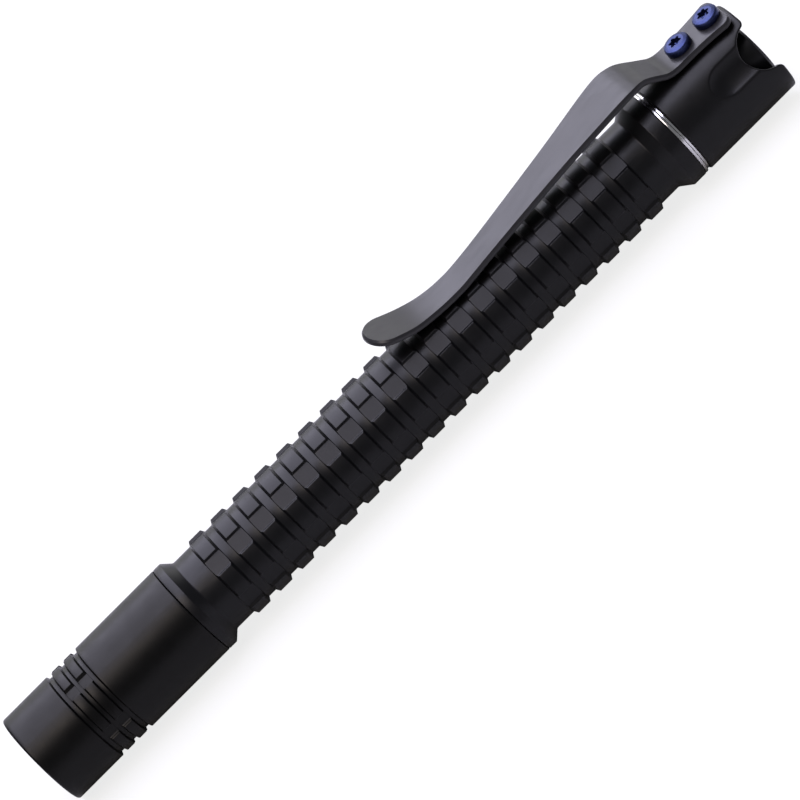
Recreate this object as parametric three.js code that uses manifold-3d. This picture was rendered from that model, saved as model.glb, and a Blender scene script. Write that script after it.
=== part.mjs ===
// A pocket ultraviolet pen light for checking banknotes, lying on its side with its pocket clip on top.
// Millimetres, +Z up. +X runs from the light end to the tail button, and the clip is on the +Z side.
// Stations called x are measured along the pen's axis from its front rim. r is a radius from that axis.
import * as THREE from "three";
import { mergeVertices } from "three/addons/utils/BufferGeometryUtils.js";
import Module from "manifold-3d";

const wasm = await Module();
wasm.setup();

// ---- Driving dimensions -------------------------------------------------------------------------
const LENGTH = 138.8;
const HEAD_RADIUS = 7.5;
const TAIL_RADIUS = 7.6;
const CELL = { radius: 5.25, length: 44.5, noseRadius: 1.9, noseLength: 1.0 }; // one AAA cell
const CELL_FRONT = 27.3; // where the front cell's nose touches the contact spring
const BORE = 5.45; // battery tube's bore
const NECK = 6.26; // battery tube's outside, between the ribs

const HEAD_END = 29.0; // seam between the head and the battery tube
const RING_FRONT = 121.45; // steel ring between the battery tube and the tail cap
const CAP_FRONT = 122.35;

const RIBS = { count: 19, first: 35.09, pitch: 4.23, base: 2.94, slope: 0.36, crest: 6.87 };
// Each rib has six flats between two sloping walls. Angles run from -Y towards +Z.
const FLAT = {
  count: 6,
  distance: 6.4,
  normal: 52.5,
  crestAngle: 38.6,
  foot: 40.9,
  topFoot: 63.6,
  stepAngle: 64.7,
};

// The two screwed joints: the tube's male ends run in plain bores that stand for the threads.
const THREAD = { length: 6.0, male: 6.45, bore: 6.65, groove: 5.95, grooveWidth: 1.2 };

const HEAD_BORE = 6.3; // holds the lens, the reflector and the heat sink
const SWITCH_BORE = 5.7;
const PETAL_BORE = 5.15;
const CAP_SHOULDER = 129.3; // the switch board sits against it
const BUTTON_LIP = 134.1; // keeps the button's flange in

const NOTCH = { radius: 3.6, corner: 0.85, angles: [60, 180, 300] }; // angles from the clip
const SCALLOP = { start: 129.1, ball: 5.0, depth: 0.94 };

const CLIP = { thickness: 0.92, end: 138.1, plateTop: 8.63, plateStart: 127.9, corner: 1.4 };
const SCREW = { stations: [130.55, 135.95], headRadius: 2.0, headHeight: 1.2, shank: 0.95, hole: 1.1 };

const SIDES = 24; // flats round a turned part; each flat is tangent to the true circle
const GAP = 0.05; // between pieces that touch

// ---- Shape helpers ------------------------------------------------------------------------------

const degrees = THREE.MathUtils.degToRad;

// Turns a LatheGeometry's own axis, +Y, on to the pen's axis, +X.
const LATHE_TO_PEN = new THREE.Matrix4().makeBasis(
  new THREE.Vector3(0, 0, 1),
  new THREE.Vector3(1, 0, 0),
  new THREE.Vector3(0, 1, 0),
);

// Takes a section drawn in X and Y, and extruded along Z, to Y and Z, extruded along X.
const SECTION_TO_PEN = new THREE.Matrix4().makeBasis(
  new THREE.Vector3(0, 1, 0),
  new THREE.Vector3(0, 0, 1),
  new THREE.Vector3(1, 0, 0),
);

// How far from the axis a plane is at an angle, given its own distance and the angle of its normal.
function planeRadius(distance, normal, angle) {
  return distance / Math.cos(THREE.MathUtils.degToRad(angle - normal));
}

// Twice the area of a profile of [x, r] points, positive when it runs anticlockwise.
function signedArea(profile) {
  return profile.reduce((sum, [x, r], i) => {
    const [nextX, nextR] = profile[(i + 1) % profile.length];
    return sum + x * nextR - nextX * r;
  }, 0);
}

// A turned solid about the pen's axis. The profile is a list of [x, r]: it starts and ends on the axis,
// or it is a closed outline away from the axis.
function turned(profile, sides = SIDES) {
  const isRing = profile.every(([, r]) => r > 0);
  const ordered = signedArea(profile) < 0 ? profile.slice() : profile.slice().reverse();
  if (isRing) ordered.push(ordered[0]);
  const halfStep = Math.PI / sides;
  const points = ordered.map(([x, r]) => new THREE.Vector2(r / Math.cos(halfStep), x));
  return new THREE.LatheGeometry(points, sides, halfStep).applyMatrix4(LATHE_TO_PEN);
}

const disc = (x0, x1, radius, sides) => turned([[x0, 0], [x0, radius], [x1, radius], [x1, 0]], sides);

const ring = (x0, x1, inner, outer) => turned([[x0, inner], [x0, outer], [x1, outer], [x1, inner]]);

function oRing(x, radius, wire) {
  const section = [0, 60, 120, 180, 240, 300].map((angle) => [
    x + wire * Math.cos(degrees(angle)),
    radius + wire * Math.sin(degrees(angle)),
  ]);
  return turned(section);
}

// A closed mesh as a manifold-3d solid, for joining and cutting.
function solid(geometry) {
  const bare = geometry.clone();
  bare.deleteAttribute("normal");
  bare.deleteAttribute("uv");
  const merged = mergeVertices(bare, 1e-4);
  return new wasm.Manifold(
    new wasm.Mesh({
      numProp: 3,
      vertProperties: merged.getAttribute("position").array,
      triVerts: new Uint32Array(merged.index.array),
    }),
  );
}

function geometryOf(manifold) {
  const { vertProperties, triVerts } = manifold.getMesh();
  return new THREE.BufferGeometry()
    .setAttribute("position", new THREE.BufferAttribute(vertProperties, 3))
    .setIndex(new THREE.BufferAttribute(triVerts, 1));
}

const cut = (body, cutters) => cutters.reduce((left, cutter) => left.subtract(solid(cutter)), body);

// A flat outline in X and Y, raised from z0 to z1.
function raised(shape, z0, z1, curveSegments = 6) {
  const options = { depth: z1 - z0, bevelEnabled: false, curveSegments };
  return new THREE.ExtrudeGeometry(shape, options).translate(0, 0, z0);
}

// A flat outline whose own axes lie along Y and Z, run along the pen from x0 to x1.
function alongPen(shape, x0, x1, curveSegments = 6) {
  const options = { depth: x1 - x0, bevelEnabled: false, curveSegments };
  return new THREE.ExtrudeGeometry(shape, options).applyMatrix4(SECTION_TO_PEN).translate(x0, 0, 0);
}

// A point at an angle from -Y towards +Z, in the Y and Z of a section.
const polar = (radius, angle) =>
  new THREE.Vector2(-radius * Math.cos(degrees(angle)), radius * Math.sin(degrees(angle)));

class Coil extends THREE.Curve {
  constructor(x0, x1, startRadius, endRadius, turns) {
    super();
    Object.assign(this, { x0, x1, startRadius, endRadius, turns });
  }
  getPoint(t, target = new THREE.Vector3()) {
    const angle = 2 * Math.PI * this.turns * t;
    const radius = THREE.MathUtils.lerp(this.startRadius, this.endRadius, t);
    const x = THREE.MathUtils.lerp(this.x0, this.x1, t);
    return target.set(x, radius * Math.cos(angle), radius * Math.sin(angle));
  }
}

// A coil spring between two stations, its wire clear of both.
function spring(x0, x1, startRadius, endRadius, turns, wire) {
  const path = new Coil(x0 + wire, x1 - wire, startRadius, endRadius, turns);
  const section = new THREE.Shape().absarc(0, 0, wire, 0, 2 * Math.PI);
  const options = { extrudePath: path, steps: Math.round(turns * 10), curveSegments: 3 };
  return new THREE.ExtrudeGeometry(section, options);
}

// ---- Materials ----------------------------------------------------------------------------------

const finish = (color, roughness, metalness, more = {}) =>
  new THREE.MeshStandardMaterial({ color, roughness, metalness, ...more });

const FINISHES = {
  blackAnodised: () => finish(0x2b2b2f, 0.42, 0.7),
  clipMetal: () => finish(0x6d6d74, 0.4, 0.9),
  blueScrew: () => finish(0x5869c3, 0.35, 0.8),
  polishedSteel: () => finish(0xc9c9cc, 0.15, 1.0),
  springSteel: () => finish(0xa8a9ad, 0.3, 1.0),
  rubber: () => finish(0x1a1a1b, 0.8, 0.0),
  filterGlass: () => finish(0x1c1030, 0.05, 0.0, { transparent: true, opacity: 0.6 }),
  mirror: () => finish(0xdedfe2, 0.08, 1.0),
  brass: () => finish(0xb5913f, 0.35, 1.0),
  copper: () => finish(0xb06a42, 0.4, 1.0),
  emitter: () => finish(0xe9e4c4, 0.3, 0.0),
  circuitBoard: () => finish(0x1f5b38, 0.5, 0.0),
  cellWrap: () => finish(0x2f3d63, 0.35, 0.0),
  blackPlastic: () => finish(0x1c1c1e, 0.5, 0.0),
};

const pen = new THREE.Group();
pen.position.set(-LENGTH / 2, 0, TAIL_RADIUS);

function place(name, geometry, finishName) {
  const mesh = new THREE.Mesh(geometry, FINISHES[finishName]());
  mesh.name = name;
  pen.add(mesh);
}

// ---- Head: shell, lens and reflector, which turn together ---------------------------------------

const HEAD_GROOVES = [[8.45, 9.25], [10.85, 11.55], [13.2, 13.9]]; // two raised bands lie between them
const GROOVE_RADIUS = 7.0;
// Pairs of small flats in the bands, either side of three angles.
const BAND_FLAT = {
  angles: [31.4, 151.4, 271.4],
  distance: 7.08,
  inner: 23.9,
  normal: 30.2,
  foot: 36.5,
  outer: 38.9,
};
const LENS = { front: 1.85, back: 3.35, radius: 6.2 };
const FRONT_OPENING = 5.75;
const RIM = 0.3;

// Cuts one small flat into both raised bands, on one side of a pair's middle.
function bandFlatCutter(centreAngle, side) {
  const { distance, inner, normal, foot, outer } = BAND_FLAT;
  const at = (radius, offset) => polar(radius, centreAngle + side * offset);
  const section = new THREE.Shape([
    at(HEAD_RADIUS + 0.5, inner),
    at(HEAD_RADIUS + 0.5, outer),
    at(HEAD_RADIUS, outer),
    at(planeRadius(distance, normal, foot), foot),
    at(planeRadius(distance, normal, inner), inner),
  ]);
  const [[, bandsStart], , [bandsEnd]] = HEAD_GROOVES;
  return alongPen(section, bandsStart - 0.1, bandsEnd + 0.1);
}

function headShell() {
  const grooves = HEAD_GROOVES.flatMap(([x0, x1]) => [
    [x0, HEAD_RADIUS],
    [x0, GROOVE_RADIUS],
    [x1, GROOVE_RADIUS],
    [x1, HEAD_RADIUS],
  ]);
  const turnedShell = turned([
    [0, FRONT_OPENING + 0.55],
    [0, HEAD_RADIUS - RIM],
    [RIM, HEAD_RADIUS],
    ...grooves,
    [HEAD_END - 0.1, HEAD_RADIUS],
    [HEAD_END - 0.1, THREAD.bore],
    [HEAD_END - THREAD.length, THREAD.bore],
    [HEAD_END - THREAD.length, HEAD_BORE],
    [1.0, HEAD_BORE],
    [1.0, FRONT_OPENING],
    [0.55, FRONT_OPENING],
  ]);
  const cutters = BAND_FLAT.angles.flatMap((angle) => [bandFlatCutter(angle, -1), bandFlatCutter(angle, 1)]);
  return geometryOf(cut(solid(turnedShell), cutters));
}

// A cup whose inside narrows from the lens to a hole that fits round the emitter.
function reflector() {
  const front = LENS.back + GAP;
  const back = 11.2;
  const inside = [[0, 5.75], [1.6, 5.3], [3.6, 4.55], [5.4, 3.6], [6.8, 2.8]];
  return turned([
    ...inside.map(([depth, r]) => [front + depth, r]),
    [back, 2.7],
    [back, 3.6],
    [front + 5.2, 4.6],
    [front + 2.2, 5.9],
    [front + 1.2, LENS.radius],
    [front, LENS.radius],
  ]);
}

place("head_shell", headShell(), "blackAnodised");
place("lens_o_ring", oRing(1.42, 5.9, 0.36), "rubber");
place("lens", disc(LENS.front, LENS.back, LENS.radius), "filterGlass");
place("reflector", reflector(), "mirror");

// ---- Light engine: slides out with the head, but doesn't turn with it ---------------------------

const BOARD_FRONT = 11.25;
const SINK = { front: 12.5, floor: 14.6, back: 22.95, radius: 6.2, bore: 5.3 };
const DRIVER = { front: 21.6, back: 22.8 };

function emitter() {
  const base = new THREE.BoxGeometry(1.0, 3.45, 3.45).translate(BOARD_FRONT - GAP - 0.5, 0, 0);
  const dome = turned([[9.5, 0], [9.6, 0.7], [9.95, 1.25], [10.5, 1.5], [10.5, 0]], 12);
  return geometryOf(solid(base).add(solid(dome)));
}

function heatSink() {
  return turned([
    [SINK.front, 0],
    [SINK.front, SINK.radius],
    [SINK.back, SINK.radius],
    [SINK.back, SINK.bore],
    [SINK.floor, SINK.bore],
    [SINK.floor, 0],
  ]);
}

place("uv_emitter", emitter(), "emitter");
place("emitter_board", disc(BOARD_FRONT, SINK.front - GAP, 5.9), "copper");
place("heat_sink", heatSink(), "brass");
place("driver_board", disc(DRIVER.front, DRIVER.back, SINK.bore - GAP), "circuitBoard");
place("contact_spring", spring(DRIVER.back, CELL_FRONT, 2.7, 1.6, 3.5, 0.28), "springSteel");

// ---- Battery tube with its cells ----------------------------------------------------------------

const TUBE = { front: HEAD_END - THREAD.length, back: RING_FRONT + THREAD.length };
const FLANGE = {
  frontEnd: 30.4,
  frontFoot: 31.85,
  backFoot: 117.45,
  backStart: 119.25,
  back: RING_FRONT - GAP,
};
const SEAL = { front: HEAD_END - 1.9, back: CAP_FRONT + 1.0 }; // o-ring stations

function grooveAt(x) {
  const half = THREAD.grooveWidth / 2;
  return [
    [x - half, THREAD.male],
    [x - half, THREAD.groove],
    [x + half, THREAD.groove],
    [x + half, THREAD.male],
  ];
}

// Every rib starts at the same offset from the one before, with sloping sides and a flat crest.
function ribProfile(index) {
  const start = RIBS.first + index * RIBS.pitch;
  return [
    [start, NECK],
    [start + RIBS.slope, RIBS.crest],
    [start + RIBS.base - RIBS.slope, RIBS.crest],
    [start + RIBS.base, NECK],
  ];
}

// One of the long flats cut through every rib.
function flatCutter(index) {
  const turn = (360 / FLAT.count) * index;
  const outer = RIBS.crest + 0.4;
  const section = new THREE.Shape([
    polar(RIBS.crest, FLAT.crestAngle + turn),
    polar(outer, FLAT.crestAngle + turn),
    polar(outer, FLAT.stepAngle + turn),
    polar(RIBS.crest, FLAT.stepAngle + turn),
    polar(planeRadius(FLAT.distance, FLAT.normal, FLAT.topFoot), FLAT.topFoot + turn),
    polar(planeRadius(FLAT.distance, FLAT.normal, FLAT.foot), FLAT.foot + turn),
  ]);
  const end = RIBS.first + RIBS.count * RIBS.pitch;
  return alongPen(section, RIBS.first - 0.2, end);
}

function batteryTube() {
  const ribs = Array.from({ length: RIBS.count }, (_, index) => ribProfile(index)).flat();
  const turnedTube = turned([
    [TUBE.front, BORE],
    [TUBE.front, THREAD.male],
    ...grooveAt(SEAL.front),
    [HEAD_END, THREAD.male],
    [HEAD_END, HEAD_RADIUS],
    [FLANGE.frontEnd, HEAD_RADIUS],
    [FLANGE.frontFoot, NECK],
    ...ribs,
    [FLANGE.backFoot, NECK],
    [FLANGE.backStart, TAIL_RADIUS],
    [FLANGE.back, TAIL_RADIUS],
    [FLANGE.back, THREAD.male],
    ...grooveAt(SEAL.back),
    [TUBE.back, THREAD.male],
    [TUBE.back, BORE],
  ]);
  const cutters = Array.from({ length: FLAT.count }, (_, index) => flatCutter(index));
  return geometryOf(cut(solid(turnedTube), cutters));
}

function cell(x) {
  const shoulder = x + CELL.noseLength;
  const end = x + CELL.length - GAP;
  return turned([
    [x, 0],
    [x, CELL.noseRadius],
    [shoulder, CELL.noseRadius],
    [shoulder, CELL.radius],
    [end, CELL.radius],
    [end, 0],
  ]);
}

place("battery_tube", batteryTube(), "blackAnodised");
place("head_o_ring", oRing(SEAL.front, 6.28, 0.29), "rubber");
place("tail_o_ring", oRing(SEAL.back, 6.28, 0.29), "rubber");
place("cell_front", cell(CELL_FRONT), "cellWrap");
place("cell_rear", cell(CELL_FRONT + CELL.length), "cellWrap");
place("steel_ring", ring(RING_FRONT, CAP_FRONT - GAP, THREAD.male + 0.12, 7.57), "polishedSteel");

// ---- Tail cap: petals, switch and clip ----------------------------------------------------------

// The outline of one notch between two petals, seen from outside, with rounded corners at the rim.
function notchOutline() {
  const centre = NOTCH.radius + NOTCH.corner;
  const side = Math.sqrt(centre ** 2 - NOTCH.corner ** 2);
  const lean = Math.atan2(side, NOTCH.corner);
  return new THREE.Shape()
    .moveTo(LENGTH + 1, -side)
    .lineTo(LENGTH, -side)
    .absarc(LENGTH - NOTCH.corner, -side, NOTCH.corner, 0, lean, false)
    .absarc(LENGTH, 0, NOTCH.radius, lean - Math.PI, Math.PI - lean, true)
    .absarc(LENGTH - NOTCH.corner, side, NOTCH.corner, -lean, 0, false)
    .lineTo(LENGTH + 1, side);
}

// A round-bottomed groove that starts as a ball and runs out through the notch.
function scallopCutter() {
  const lift = TAIL_RADIUS - SCALLOP.depth + SCALLOP.ball;
  const start = SCALLOP.start + Math.sqrt(SCALLOP.ball ** 2 - (lift - TAIL_RADIUS) ** 2);
  const half = Math.PI / 2;
  const arc = [0, 0.2, 0.4, 0.6, 0.8, 1].map((t) => [
    start - SCALLOP.ball * Math.cos(half * t),
    SCALLOP.ball * Math.sin(half * t),
  ]);
  return turned([...arc, [LENGTH + 1, SCALLOP.ball], [LENGTH + 1, 0]]).translate(0, 0, lift);
}

// The raised pad on the cap's clip petal, which the clip's plate is screwed down to.
const PAD = {
  front: 127.9,
  end: 137.6,
  halfWidth: 2.3,
  corner: 1.2,
  bottom: 6.8,
  top: CLIP.plateTop - CLIP.thickness - GAP,
};

function roundedPlate(x0, x1, halfWidth, corner) {
  return new THREE.Shape()
    .moveTo(x0, -halfWidth)
    .lineTo(x1 - corner, -halfWidth)
    .absarc(x1 - corner, corner - halfWidth, corner, -Math.PI / 2, 0, false)
    .absarc(x1 - corner, halfWidth - corner, corner, 0, Math.PI / 2, false)
    .lineTo(x0, halfWidth);
}

function upright(x, radius, z0, z1, sides = 12) {
  const pin = new THREE.CylinderGeometry(radius, radius, z1 - z0, sides).rotateX(Math.PI / 2);
  return pin.translate(x, 0, (z0 + z1) / 2);
}

function tailCap() {
  const barrel = turned([
    [CAP_FRONT, THREAD.bore],
    [CAP_FRONT, TAIL_RADIUS - 0.2],
    [CAP_FRONT + 0.2, TAIL_RADIUS],
    [LENGTH - 0.4, TAIL_RADIUS],
    [LENGTH, TAIL_RADIUS - 0.4],
    [LENGTH, PETAL_BORE + 0.2],
    [LENGTH - 0.2, PETAL_BORE],
    [BUTTON_LIP, PETAL_BORE],
    [BUTTON_LIP, SWITCH_BORE],
    [CAP_SHOULDER, SWITCH_BORE],
    [CAP_SHOULDER, THREAD.bore],
  ]);
  const pad = raised(roundedPlate(PAD.front, PAD.end, PAD.halfWidth, PAD.corner), PAD.bottom, PAD.top);
  const notch = raised(notchOutline(), 4.2, TAIL_RADIUS + 1);
  const cutters = NOTCH.angles.flatMap((angle) => [
    notch.clone().rotateX(degrees(angle)),
    scallopCutter().rotateX(degrees(angle)),
  ]);
  const holes = SCREW.stations.map((x) => upright(x, SCREW.hole, 6.15, PAD.top + 1));
  return geometryOf(cut(solid(barrel).add(solid(pad)), [...cutters, ...holes]));
}

// The clip's outer surface seen from the side, as [x, height above the axis], from lifted tip to plate.
const CLIP_SIDE = [
  [72.3, 11.7],
  [74.8, 10.43],
  [78.3, 8.93],
  [81.7, 8.15],
  [85.1, 7.88],
  [88.9, 8.12],
  [100.6, 9.68],
  [112.6, 11.28],
  [118.8, 12.03],
  [121.6, 11.91],
  [123.4, 11.33],
  [125.3, 9.98],
  [126.7, 8.97],
];

// Half of the clip's width along it, from the tip's widest place to the plate's rounded corners.
const CLIP_HALF_WIDTH = [
  [75.2, 3.65],
  [78.3, 3.45],
  [81.7, 3.02],
  [86.5, 2.83],
  [93.7, 2.9],
  [107.4, 3.6],
  [116.0, 4.4],
  [119.6, 4.6],
  [121.9, 4.26],
  [124.0, 3.48],
  [126.0, 3.27],
  [129.0, 3.2],
  [132.5, 3.28],
  [135.0, 3.52],
  [CLIP.end - CLIP.corner, 3.78],
];
const CLIP_TIP = CLIP_SIDE[0][0];

const smooth = (points, divisions) =>
  new THREE.SplineCurve(points.map(([x, y]) => new THREE.Vector2(x, y))).getPoints(divisions);

// The strip's side view: the outer surface, then the inner one, a thickness below it.
function clipSideView() {
  const line = [...smooth(CLIP_SIDE, 22), new THREE.Vector2(CLIP.plateStart, CLIP.plateTop)];
  line.push(new THREE.Vector2(CLIP.end + 1, CLIP.plateTop));
  const inner = line.map((point, i) => {
    const before = line[Math.max(i - 1, 0)];
    const after = line[Math.min(i + 1, line.length - 1)];
    const along = after.clone().sub(before).normalize();
    return new THREE.Vector2(point.x + along.y * CLIP.thickness, point.y - along.x * CLIP.thickness);
  });
  return new THREE.Shape([...line, ...inner.reverse()]);
}

function clipOutline() {
  const side = smooth(CLIP_HALF_WIDTH, 20);
  const tip = side[0];
  const outline = new THREE.Shape().moveTo(tip.x, -tip.y);
  side.slice(1).forEach((point) => outline.lineTo(point.x, -point.y));
  const { corner } = CLIP;
  const { x: bend, y: wide } = side.at(-1);
  outline.absarc(bend, corner - wide, corner, -Math.PI / 2, 0, false);
  outline.absarc(bend, wide - corner, corner, 0, Math.PI / 2, false);
  side.toReversed().forEach((point) => outline.lineTo(point.x, point.y));
  outline.absellipse(tip.x, 0, tip.x - CLIP_TIP, tip.y, Math.PI / 2, (3 * Math.PI) / 2, false);
  return outline;
}

function pocketClip() {
  const options = { depth: 12, bevelEnabled: false };
  const strip = new THREE.ExtrudeGeometry(clipSideView(), options).rotateX(Math.PI / 2);
  strip.translate(0, options.depth / 2, 0);
  const outline = raised(clipOutline(), 4, 16, 5);
  const holes = SCREW.stations.map((x) => upright(x, SCREW.hole, 6, 10));
  return geometryOf(cut(solid(strip).intersect(solid(outline)), holes));
}

// A button-headed screw standing on the clip's plate, its shank going down into the cap.
function clipScrew(x) {
  const profile = [
    [-2.2, 0],
    [-2.2, SCREW.shank],
    [GAP, SCREW.shank],
    [GAP, SCREW.headRadius],
    [0.8, SCREW.headRadius],
    [1.05, 1.75],
    [SCREW.headHeight, 1.15],
    [SCREW.headHeight, 0],
  ];
  const blank = turned(profile, 16).rotateY(-Math.PI / 2).translate(x, 0, CLIP.plateTop);
  const top = CLIP.plateTop + SCREW.headHeight;
  return geometryOf(cut(solid(blank), [upright(x, 0.85, top - 0.5, top + 0.5, 6)]));
}

place("tail_cap", tailCap(), "blackAnodised");
place("pocket_clip", pocketClip(), "clipMetal");
place("clip_screw_front", clipScrew(SCREW.stations[0]), "blueScrew");
place("clip_screw_rear", clipScrew(SCREW.stations[1]), "blueScrew");

// ---- Switch, inside the tail cap ----------------------------------------------------------------

const SWITCH_BOARD = { front: 128.35, back: CAP_SHOULDER - GAP };
const SWITCH_TOP = 132.1;
const BUTTON = {
  flange: 133.2,
  roof: 136.0,
  top: 138.25,
  radius: 4.8,
  bore: 3.9,
  chamfer: 0.45,
  seal: 134.75,
};
const CELLS_END = CELL_FRONT + 2 * CELL.length;

function switchBody() {
  const height = SWITCH_TOP - CAP_SHOULDER;
  const block = new THREE.BoxGeometry(height, 7.4, 7.4).translate(CAP_SHOULDER + height / 2, 0, 0);
  return geometryOf(cut(solid(block), [disc(130.0, SWITCH_TOP + 1, 1.6, 12)]));
}

function switchButton() {
  return turned([
    [BUTTON.roof, 0],
    [BUTTON.roof, BUTTON.bore],
    [BUTTON.flange, BUTTON.bore],
    [BUTTON.flange, SWITCH_BORE - 0.2],
    [BUTTON_LIP - GAP, SWITCH_BORE - 0.2],
    [BUTTON_LIP - GAP, BUTTON.radius],
    [BUTTON.seal - 0.35, BUTTON.radius],
    [BUTTON.seal - 0.35, BUTTON.radius - 0.35],
    [BUTTON.seal + 0.35, BUTTON.radius - 0.35],
    [BUTTON.seal + 0.35, BUTTON.radius],
    [BUTTON.top - BUTTON.chamfer, BUTTON.radius],
    [BUTTON.top, BUTTON.radius - BUTTON.chamfer],
    [BUTTON.top, 0],
  ]);
}

const retainingRing = ring(TUBE.back + GAP, SWITCH_BOARD.front - GAP, 3.9, THREAD.bore - 0.1);

place("switch_retaining_ring", retainingRing, "brass");
place("switch_board", disc(SWITCH_BOARD.front, SWITCH_BOARD.back, THREAD.bore - 0.15), "circuitBoard");
place("tail_spring", spring(CELLS_END, SWITCH_BOARD.front, 2.4, 3.3, 6, 0.32), "springSteel");
place("switch_body", switchBody(), "blackPlastic");
place("switch_plunger", disc(131.2, BUTTON.roof - GAP, 1.4, 12), "brass");
place("return_spring", spring(SWITCH_TOP, BUTTON.roof, 3.2, 3.2, 3.5, 0.22), "springSteel");
place("switch_button", switchButton(), "blackAnodised");
place("button_o_ring", oRing(BUTTON.seal, 4.79, 0.28), "rubber");

const part = new THREE.Group();
part.add(pen);

export default part;
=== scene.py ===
"""Looks for a pocket ultraviolet pen light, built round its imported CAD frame.

Lengths inside the script are millimetres in the pen's own terms: x is measured along the axis from the
front rim, r from the axis, and an angle runs from -Y towards +Z. shift() takes them to the row frame.
"""

import math

import bmesh
import bpy
import numpy as np
from mathutils import Matrix, Vector


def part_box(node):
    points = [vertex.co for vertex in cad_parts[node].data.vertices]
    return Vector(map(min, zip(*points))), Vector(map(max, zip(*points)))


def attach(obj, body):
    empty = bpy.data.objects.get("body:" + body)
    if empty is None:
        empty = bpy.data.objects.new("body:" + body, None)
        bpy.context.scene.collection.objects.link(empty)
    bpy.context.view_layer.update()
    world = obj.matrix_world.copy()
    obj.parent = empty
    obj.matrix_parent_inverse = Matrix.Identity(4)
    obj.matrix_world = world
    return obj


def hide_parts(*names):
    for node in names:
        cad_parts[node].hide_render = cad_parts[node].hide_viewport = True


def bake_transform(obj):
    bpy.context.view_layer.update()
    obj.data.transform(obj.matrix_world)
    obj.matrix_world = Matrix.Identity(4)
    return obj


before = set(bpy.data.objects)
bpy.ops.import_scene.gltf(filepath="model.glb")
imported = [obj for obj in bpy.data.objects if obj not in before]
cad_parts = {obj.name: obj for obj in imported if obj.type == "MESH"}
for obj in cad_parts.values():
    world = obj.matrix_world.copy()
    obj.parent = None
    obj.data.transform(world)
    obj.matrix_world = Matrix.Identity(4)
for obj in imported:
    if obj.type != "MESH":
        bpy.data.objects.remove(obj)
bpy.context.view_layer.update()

MM = 0.001
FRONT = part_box("head_shell")[0].x
AXIS_Z = sum(corner.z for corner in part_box("battery_tube")) / 2


def span(node):
    """Where a CAD node starts and ends along the pen."""
    low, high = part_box(node)
    return (low.x - FRONT) / MM, (high.x - FRONT) / MM


def radius_of(node):
    low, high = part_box(node)
    return (high.y - low.y) / 2 / MM


# ---- Sizes, the CAD part's or within a few tenths of them -----------------------------------------

LENGTH = span("tail_cap")[1]
HEAD_RADIUS = radius_of("head_shell")
TAIL_RADIUS = radius_of("tail_cap")
HEAD_END = span("head_shell")[1]
SEAM = HEAD_END + 0.2  # where the head meets the barrel, as it is seen
TUBE_FRONT, TUBE_BACK = span("battery_tube")
RING_FRONT, RING_BACK = span("steel_ring")
CAP_FRONT = span("tail_cap")[0]

NECK = 6.26
BORE = 5.45
RIBS = dict(count=19, first=35.09, pitch=4.23, base=2.94, slope=0.36, crest=6.87)
# A rib's flat: its plane's distance from the axis, and the angles of its normal and its corners.
FLAT = dict(
    count=6, distance=6.35, normal=52.5,
    crest_angle=38.6, foot=40.9, top_foot=63.6, step_angle=64.7,
)
FLANGE = dict(front_end=30.5, front_foot=31.85, back_foot=117.45, back_start=119.25)
THREAD = dict(male=6.45, root=6.0, bore=6.65, pitch=0.75, depth=5.9)
SEAL = dict(groove=5.95, groove_width=1.2, land=0.85, radius=6.28, section=0.3)
BANDS = dict(grooves=((8.56, 9.38), (10.9, 11.68), (13.24, 14.05)), root=7.0)
# A pair of small flats lies on either side of each of these angles, at the others' offsets from it.
BAND_FLAT = dict(
    angles=(31.4, 151.4, 271.4), distance=7.03, normal=30.2,
    inner=23.9, foot=36.5, outer=38.9,
)
FRONT_OPENING = dict(radius=5.75, flare=0.6, wall=1.0)
HEAD_BORE = 6.3

SWITCH_BORE = 5.7
PETAL_BORE = 5.15
CAP_SHOULDER = 129.3
BUTTON_LIP = 134.1
NOTCH = dict(radius=3.6, corner=0.85, angles=(30, 150, 270))
SCALLOP = dict(start=129.1, ball=5.0, depth=0.94)

CLIP = dict(thickness=0.92, end=138.1, top=8.63, corner=1.4, edge=0.2, bevel=0.34)
# The clip's upper side: stations and heights over the axis.
CLIP_SIDE = [
    (72.3, 11.7), (74.8, 10.43), (78.3, 8.93), (81.7, 8.15), (85.1, 7.88), (88.9, 8.12),
    (100.6, 9.68), (112.6, 11.28), (118.8, 12.0), (121.6, 11.89), (123.4, 11.33), (125.3, 9.98),
    (126.7, 8.97), (128.1, 8.64), (130.0, 8.63), (134.0, 8.63), (138.1, 8.63),
]
# Half of the clip's width at stations between its round tip and its square end.
CLIP_HALF_WIDTH = [
    (75.2, 3.65), (78.3, 3.45), (81.7, 3.02), (86.5, 2.83), (93.7, 2.9), (107.4, 3.6), (116.0, 4.4),
    (119.6, 4.6), (121.9, 4.26), (124.0, 3.48), (126.0, 3.27), (129.0, 3.2), (132.5, 3.28), (135.0, 3.52),
    (136.7, 3.78),
]
CLIP_TIP = CLIP_SIDE[0][0]
PAD = dict(front=127.9, end=137.6, half_width=2.3, corner=1.2, bottom=6.7)
SCREWS = dict(head=2.0, height=1.2, shank=0.95, star=1.0, star_depth=0.8)

# ---- Mesh helpers ---------------------------------------------------------------------------------

SHARP_ANGLE = 40


def shift(points):
    """Points in the pen's millimetres as points in the row frame's metres."""
    return np.asarray(points, float) * MM + np.array([FRONT, 0, AXIS_Z])


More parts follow.
